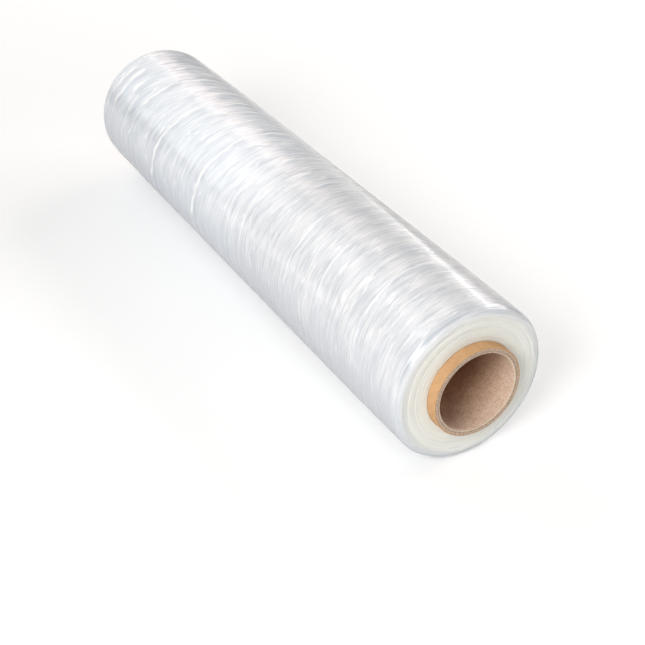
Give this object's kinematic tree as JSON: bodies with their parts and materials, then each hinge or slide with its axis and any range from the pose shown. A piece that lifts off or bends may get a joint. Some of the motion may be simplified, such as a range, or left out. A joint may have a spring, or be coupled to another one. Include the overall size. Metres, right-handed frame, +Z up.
{
  "type": "stretch wrap roll",
  "caption": "Roll of clear stretch film wound on a cardboard tube that stands out past both end faces, lying on its side on a small flat.",
  "frame": {"origin": "bottom centre of the bounding box: under the middle of the film's width, on the surface that the roll lies on", "axes": "+X along the roll's axis, +Y across it, +Z up"},
  "size_m": [0.4644, 0.1022, 0.1017],
  "materials": {
    "card": "matte",
    "clear_film": "gloss"
  },
  "bodies": {
    "root": {"tube": "card", "film": "clear_film"}
  },
  "joints": []
}
